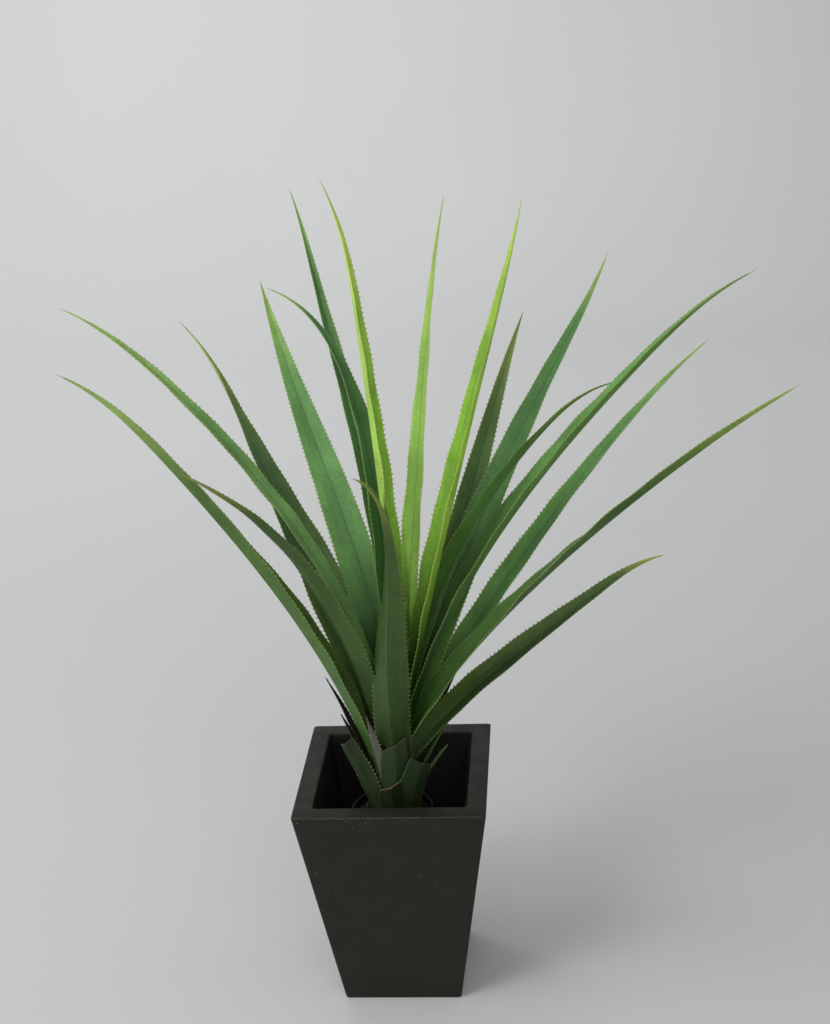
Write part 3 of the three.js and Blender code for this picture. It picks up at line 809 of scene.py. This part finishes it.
def make_blade_skin():
    """A blade's colours by where a point lies on it: inner or outer face, foot, tip, crease and toothed
    margin, with long veins. Painted shade darkens the crease on the inner face, a painted highlight lightens
    it along the keel on the outer face, and on most tones the darker foot is partly painted shade. The mesh's
    `blade` holds across (past 1 on a tooth), along and face, its `fibre` the same in metres. Fading is the
    share of the length where the tip's colour sets in."""
    tree, given, out = group(
        "blade_skin",
        [
            ("Inner", "NodeSocketColor", (0.1, 0.3, 0.05, 1)),
            ("Outer", "NodeSocketColor", (0.1, 0.3, 0.05, 1)),
            ("Foot", "NodeSocketColor", (0.1, 0.3, 0.05, 1)),
            ("Tip", "NodeSocketColor", (0.3, 0.4, 0.05, 1)),
            ("Margin", "NodeSocketColor", (0.3, 0.4, 0.1, 1)),
            ("End", "NodeSocketColor", (0.2, 0.2, 0.1, 1)),
            ("Fading", "NodeSocketFloat", 0.7),
        ],
        [("Colour", "NodeSocketColor"), ("Roughness", "NodeSocketFloat"), ("Height", "NodeSocketFloat")],
    )
    where = add(tree, "ShaderNodeSeparateXYZ", {0: mark(tree, "blade", "Vector")}).outputs
    across = calc(tree, "ABSOLUTE", where[0])
    along, back = where[1], where[2]
    fibre = add(tree, "ShaderNodeVectorMath", {
        0: mark(tree, "fibre", "Vector"),
        1: VEINS_PER_METRE,
    }, operation="MULTIPLY").outputs[0]
    veins = noise(tree, fibre, 1.0, 3.0, 0.6)
    patches = noise(tree, place_of(tree), PATCHES_PER_METRE)

    colour = blend(tree, back, given["Inner"], given["Outer"])
    # Painted shade, in part: on most tones the foot colour is darker than the blade, for the shade deep in
    # the crown.
    foot = spread(tree, along, *FOOT_FADES, 1.0, 0.0)
    colour = blend(tree, foot, colour, given["Foot"])
    colour = blend(tree, spread(tree, along, given["Fading"], TIP_REACHED), colour, given["Tip"])
    shade = shades(tree, veins, *VEIN_SHADES)
    shade = calc(tree, "MULTIPLY", shade, shades(tree, patches, *PATCH_SHADES))
    speckle = noise(tree, place_of(tree), SPECKLES_PER_METRE, 3.0, 0.7)
    shade = calc(tree, "MULTIPLY", shade, shades(tree, speckle, *SPECKLE_SHADES))
    # Painted shade and highlight: the crease is darkened on the inner face as shade and lightened along the
    # keel on the outer face as a highlight.
    inside, outside = CREASE_PAINTED_SHADE_AND_HIGHLIGHT
    line = calc(tree, "ADD", inside, calc(tree, "MULTIPLY", back, outside - inside))
    crease = spread(tree, across, *CREASE_WIDTH, line, 1.0)
    shade = calc(tree, "MULTIPLY", shade, crease)
    tint = add(tree, "ShaderNodeCombineColor", {0: shade, 1: shade, 2: shade}).outputs[0]
    colour = blend(tree, 1.0, colour, tint, "MULTIPLY")
    edge = spread(tree, across, 0.95, 1.0, 0.0, EDGE_PALING)
    teeth = spread(tree, across, 1.0, 1.4, 0.0, TOOTH_PALING)
    lessening = spread(tree, along, *PALING_FADES, 1.0, 0.5)
    pale = calc(tree, "MULTIPLY", calc(tree, "ADD", edge, teeth), lessening)
    colour = blend(tree, pale, colour, given["Margin"])
    colour = blend(tree, spread(tree, along, *END_BAND), colour, given["End"])
    rough = shades(tree, veins, *SKIN_ROUGHNESS)
    height = calc(tree, "ADD", veins, calc(tree, "MULTIPLY", patches, 0.6))
    tree.links.new(colour, out["Colour"])
    tree.links.new(rough, out["Roughness"])
    tree.links.new(height, out["Height"])


def blade_finish(tone):
    """The skin of one blade in its own greens."""
    def build(tree):
        given = {part.title(): value if part == "fading" else (*value, 1) for part, value in tone.items()}
        skin = use(tree, "blade_skin", given)
        return skin["Colour"], skin["Roughness"], skin["Height"], BLADE_RELIEF
    return build


make_blade_skin()
for number, (node, leaf) in enumerate(LEAVES.items(), start=1):
    rings, marks = blade_surface(leaf, lambda s, base=leaf["base"]: leaf_share(s, base), number)
    piece(
        "agave_" + node,
        rings,
        ringed(*rings.shape[:2]),
        finish("green_" + node, blade_finish(leaf["tone"]), specular=LEAF_SPECULAR, through=0.6),
        node,
        marks,
    )

# Stubs
# Short older leaves round the foot of the crown. Some still run out to a point, others were cut off with
# scissors and have dried brown along the cut.
STUB_CLASP = 0.65
STUB_CLASP_END = 0.35
CUT_TAPER = 0.15
POINT_POWER = 1.8
STUB_BEND = (4, 0, -6)
STUB_SEED = 40

GREY = dict(inner=(0.034, 0.060, 0.026), outer=(0.038, 0.069, 0.028), foot=(0.032, 0.068, 0.017),
            tip=(0.044, 0.070, 0.034), margin=(0.10, 0.13, 0.06), end=(0.060, 0.058, 0.036))
DULL = dict(inner=(0.034, 0.058, 0.024), outer=(0.038, 0.064, 0.026), foot=(0.034, 0.068, 0.018),
            tip=(0.034, 0.046, 0.026), margin=(0.22, 0.25, 0.15), end=(0.050, 0.050, 0.035))
GREEN = dict(inner=(0.050, 0.095, 0.026), outer=(0.055, 0.11, 0.028), foot=(0.040, 0.090, 0.018),
             tip=(0.060, 0.10, 0.034), margin=(0.18, 0.24, 0.10), end=(0.10, 0.09, 0.05))
FADED = dict(inner=(0.12, 0.14, 0.095), outer=(0.13, 0.155, 0.105), foot=(0.09, 0.17, 0.055),
             tip=(0.105, 0.090, 0.085), margin=(0.22, 0.30, 0.14), end=(0.12, 0.09, 0.08), fading=0.5)
WITHERED = dict(inner=(0.026, 0.022, 0.018), outer=(0.030, 0.026, 0.020), foot=(0.034, 0.060, 0.020),
                tip=(0.028, 0.020, 0.020), margin=(0.060, 0.050, 0.040), end=(0.020, 0.014, 0.014))
RUST = dict(inner=(0.032, 0.046, 0.018), outer=(0.034, 0.048, 0.019), foot=(0.030, 0.055, 0.014),
            tip=(0.040, 0.044, 0.022), margin=(0.11, 0.09, 0.05), end=(0.14, 0.095, 0.05))

# `slant` is how far the cut is off square and `roll` how far the blade is turned about its keel, in degrees.
STUBS = {
    "stub_01": dict(azimuth=160, height=0.266, length=0.163, width=0.018, fold=24, rise=66,
                    tone=WITHERED),
    "stub_02": dict(azimuth=178, height=0.250, length=0.132, width=0.026, fold=24, rise=74,
                    tone=WITHERED),
    "stub_03": dict(azimuth=218, height=0.244, length=0.120, width=0.036, fold=20, rise=70,
                    roll=22, slant=30, tone=DULL),
    "stub_04": dict(azimuth=241, height=0.264, length=0.136, width=0.024, fold=24, rise=78,
                    tone=FADED),
    "stub_05": dict(azimuth=281, height=0.257, length=0.097, width=0.038, fold=14, rise=79,
                    slant=34, tone=GREY),
    "stub_06": dict(azimuth=301, height=0.286, length=0.099, width=0.014, fold=20, rise=81,
                    tone=GREEN),
    "stub_07": dict(azimuth=320, height=0.240, length=0.090, width=0.042, fold=16, rise=70,
                    roll=-22, slant=-29, tone=GREY),
    "stub_08": dict(azimuth=273, height=0.242, length=0.062, width=0.036, fold=14, rise=66,
                    slant=40, tone=RUST),
    "stub_09": dict(azimuth=352, height=0.250, length=0.102, width=0.030, fold=20, rise=60,
                    tone=GREEN),
    "stub_10": dict(azimuth=2, height=0.262, length=0.122, width=0.026, fold=22, rise=63,
                    tone=GREEN),
    "stub_11": dict(azimuth=31, height=0.275, length=0.158, width=0.024, fold=24, rise=61,
                    tone=WITHERED),
    "stub_12": dict(azimuth=60, height=0.246, length=0.084, width=0.030, fold=18, rise=64,
                    slant=20, tone=GREY),
    "stub_13": dict(azimuth=104, height=0.262, length=0.110, width=0.026, fold=20, rise=68,
                    tone=GREEN),
    "stub_14": dict(azimuth=140, height=0.243, length=0.076, width=0.030, fold=18, rise=62,
                    slant=-25, tone=GREY),
}


def stub_share(s, cut):
    """Half-width as a share of the widest: it grows from the clasp, then narrows a little to a cut or by
    1 - s^1.8 to a point."""
    clasp = STUB_CLASP + (1 - STUB_CLASP) * np.minimum(1, s / STUB_CLASP_END)
    return clasp * (1 - CUT_TAPER * s if cut else 1 - s ** POINT_POWER)


for number, (node, stub) in enumerate(STUBS.items(), start=1):
    cut = "slant" in stub
    rise = [stub["rise"] + bend for bend in STUB_BEND]
    roll = [stub.get("roll", 0)] * 2
    blade = dict(stub, seat=stub["azimuth"], rise=rise, hook=0, turn=0, roll=roll)
    rings, marks = blade_surface(blade, lambda s, cut=cut: stub_share(s, cut), STUB_SEED + number, not cut)
    piece(
        "agave_" + node,
        rings,
        ringed(*rings.shape[:2]),
        finish("green_" + node, blade_finish(stub["tone"]), specular=LEAF_SPECULAR, through=0.1),
        node,
        marks,
    )

# Stage
# A pale paper floor that sweeps up behind without an edge, soft daylight from the left, and the
# photograph's camera.
SWEEP_FRONT = -30.0
SWEEP_BACK = 3.2
SWEEP_BEND = 1.6
SWEEP_TOP = 6.0
SWEEP_HALF_WIDTH = 30.0
CAMERA_AT = Vector((0.2090, -1.8791, 1.3605))
CAMERA_HEADING = math.radians(5.01)
CAMERA_DOWN = math.radians(20.68)
CAMERA_ROLL = math.radians(3.26)
CAMERA_LENS = 58.72
CAMERA_SENSOR = 36.0
PAPER_DARK = (0.606, 0.614, 0.612, 1)
PAPER_LIGHT = (0.636, 0.644, 0.642, 1)
PAPER_RELIEF = 0.0002
DAYLIGHT = (0.985, 0.99, 1.0, 1)
DAYLIGHT_STRENGTH = 0.38


def paper_finish(tree):
    """Pale grey paper with a faint tooth."""
    place = place_of(tree)
    share = noise(tree, place, 1.2, 2.0)
    colour = blend(tree, share, PAPER_DARK, PAPER_LIGHT)
    return colour, 0.9, noise(tree, place, 300.0, 2.0), PAPER_RELIEF


def sweep_surface():
    """A straight run, a quarter turn and a straight rise, carried sideways: one row for each path point."""
    turn = np.linspace(0, math.pi / 2, 33)
    y = SWEEP_BACK + SWEEP_BEND * np.sin(turn)
    z = SWEEP_BEND * (1 - np.cos(turn))
    y = np.concatenate([[SWEEP_FRONT], y, [y[-1]]])
    z = np.concatenate([[0.0], z, [SWEEP_TOP]])
    ends = np.array([-SWEEP_HALF_WIDTH, SWEEP_HALF_WIDTH])
    rows = np.stack(np.broadcast_arrays(ends[None], y[:, None], z[:, None]), axis=-1)
    corner = 2 * np.arange(len(y) - 1)[:, None]
    return rows.reshape(-1, 3), (corner + np.array([0, 1, 3, 2])).tolist()


def lamp(name, at, aim, size, watts, colour):
    """A soft square light at a point, facing another."""
    light = bpy.data.lights.new(name, "AREA")
    light.size = size
    light.energy = watts
    light.color = colour
    made = bpy.data.objects.new(name, light)
    made.location = at
    made.rotation_euler = (Vector(aim) - Vector(at)).to_track_quat("-Z", "Y").to_euler()
    bpy.context.scene.collection.objects.link(made)


sweep_points, sweep_faces = sweep_surface()
sweep_mesh = bpy.data.meshes.new("sweep")
sweep_mesh.from_pydata(sweep_points, [], sweep_faces)
sweep_mesh.shade_smooth()
sweep_mesh.materials.append(finish("paper", paper_finish, specular=0.2))
sweep = bpy.data.objects.new("sweep", sweep_mesh)
bpy.context.scene.collection.objects.link(sweep)

world = bpy.data.worlds.new("daylight")
world.use_nodes = True
sky = world.node_tree.nodes["Background"].inputs
sky["Color"].default_value = DAYLIGHT
sky["Strength"].default_value = DAYLIGHT_STRENGTH
bpy.context.scene.world = world
bpy.context.scene.view_settings.view_transform = "Standard"
lamp("window", at=(-1.75, -1.95, 2.9), aim=(0.1, 0.0, 0.4), size=1.2, watts=33, colour=(1.0, 0.985, 0.95))
lamp("panel", at=(-2.7, -0.9, 1.5), aim=(0.0, 0.0, 0.5), size=2.4, watts=42, colour=(0.97, 0.99, 1.0))
lamp("backdrop", at=(-1.5, 2.2, 3.8), aim=(-0.6, 4.8, 2.0), size=2.4, watts=90, colour=(1.0, 1.0, 1.0))
lamp("room", at=(0.7, -2.8, 2.2), aim=(0.3, -0.2, 0.0), size=2.0, watts=20, colour=(1.0, 0.99, 0.97))

ahead = Vector((-math.sin(CAMERA_HEADING), math.cos(CAMERA_HEADING), 0))
forward = ahead * math.cos(CAMERA_DOWN) - Vector((0, 0, math.sin(CAMERA_DOWN)))
level = forward.cross(Vector((0, 0, 1))).normalized()
upright = level.cross(forward)
right = level * math.cos(CAMERA_ROLL) - upright * math.sin(CAMERA_ROLL)
top = level * math.sin(CAMERA_ROLL) + upright * math.cos(CAMERA_ROLL)
camera_data = bpy.data.cameras.new("camera")
camera_data.lens = CAMERA_LENS
camera_data.sensor_width = CAMERA_SENSOR
camera = bpy.data.objects.new("camera", camera_data)
camera.matrix_world = Matrix.Translation(CAMERA_AT) @ Matrix((right, top, -forward)).transposed().to_4x4()
bpy.context.scene.collection.objects.link(camera)
bpy.context.scene.camera = camera
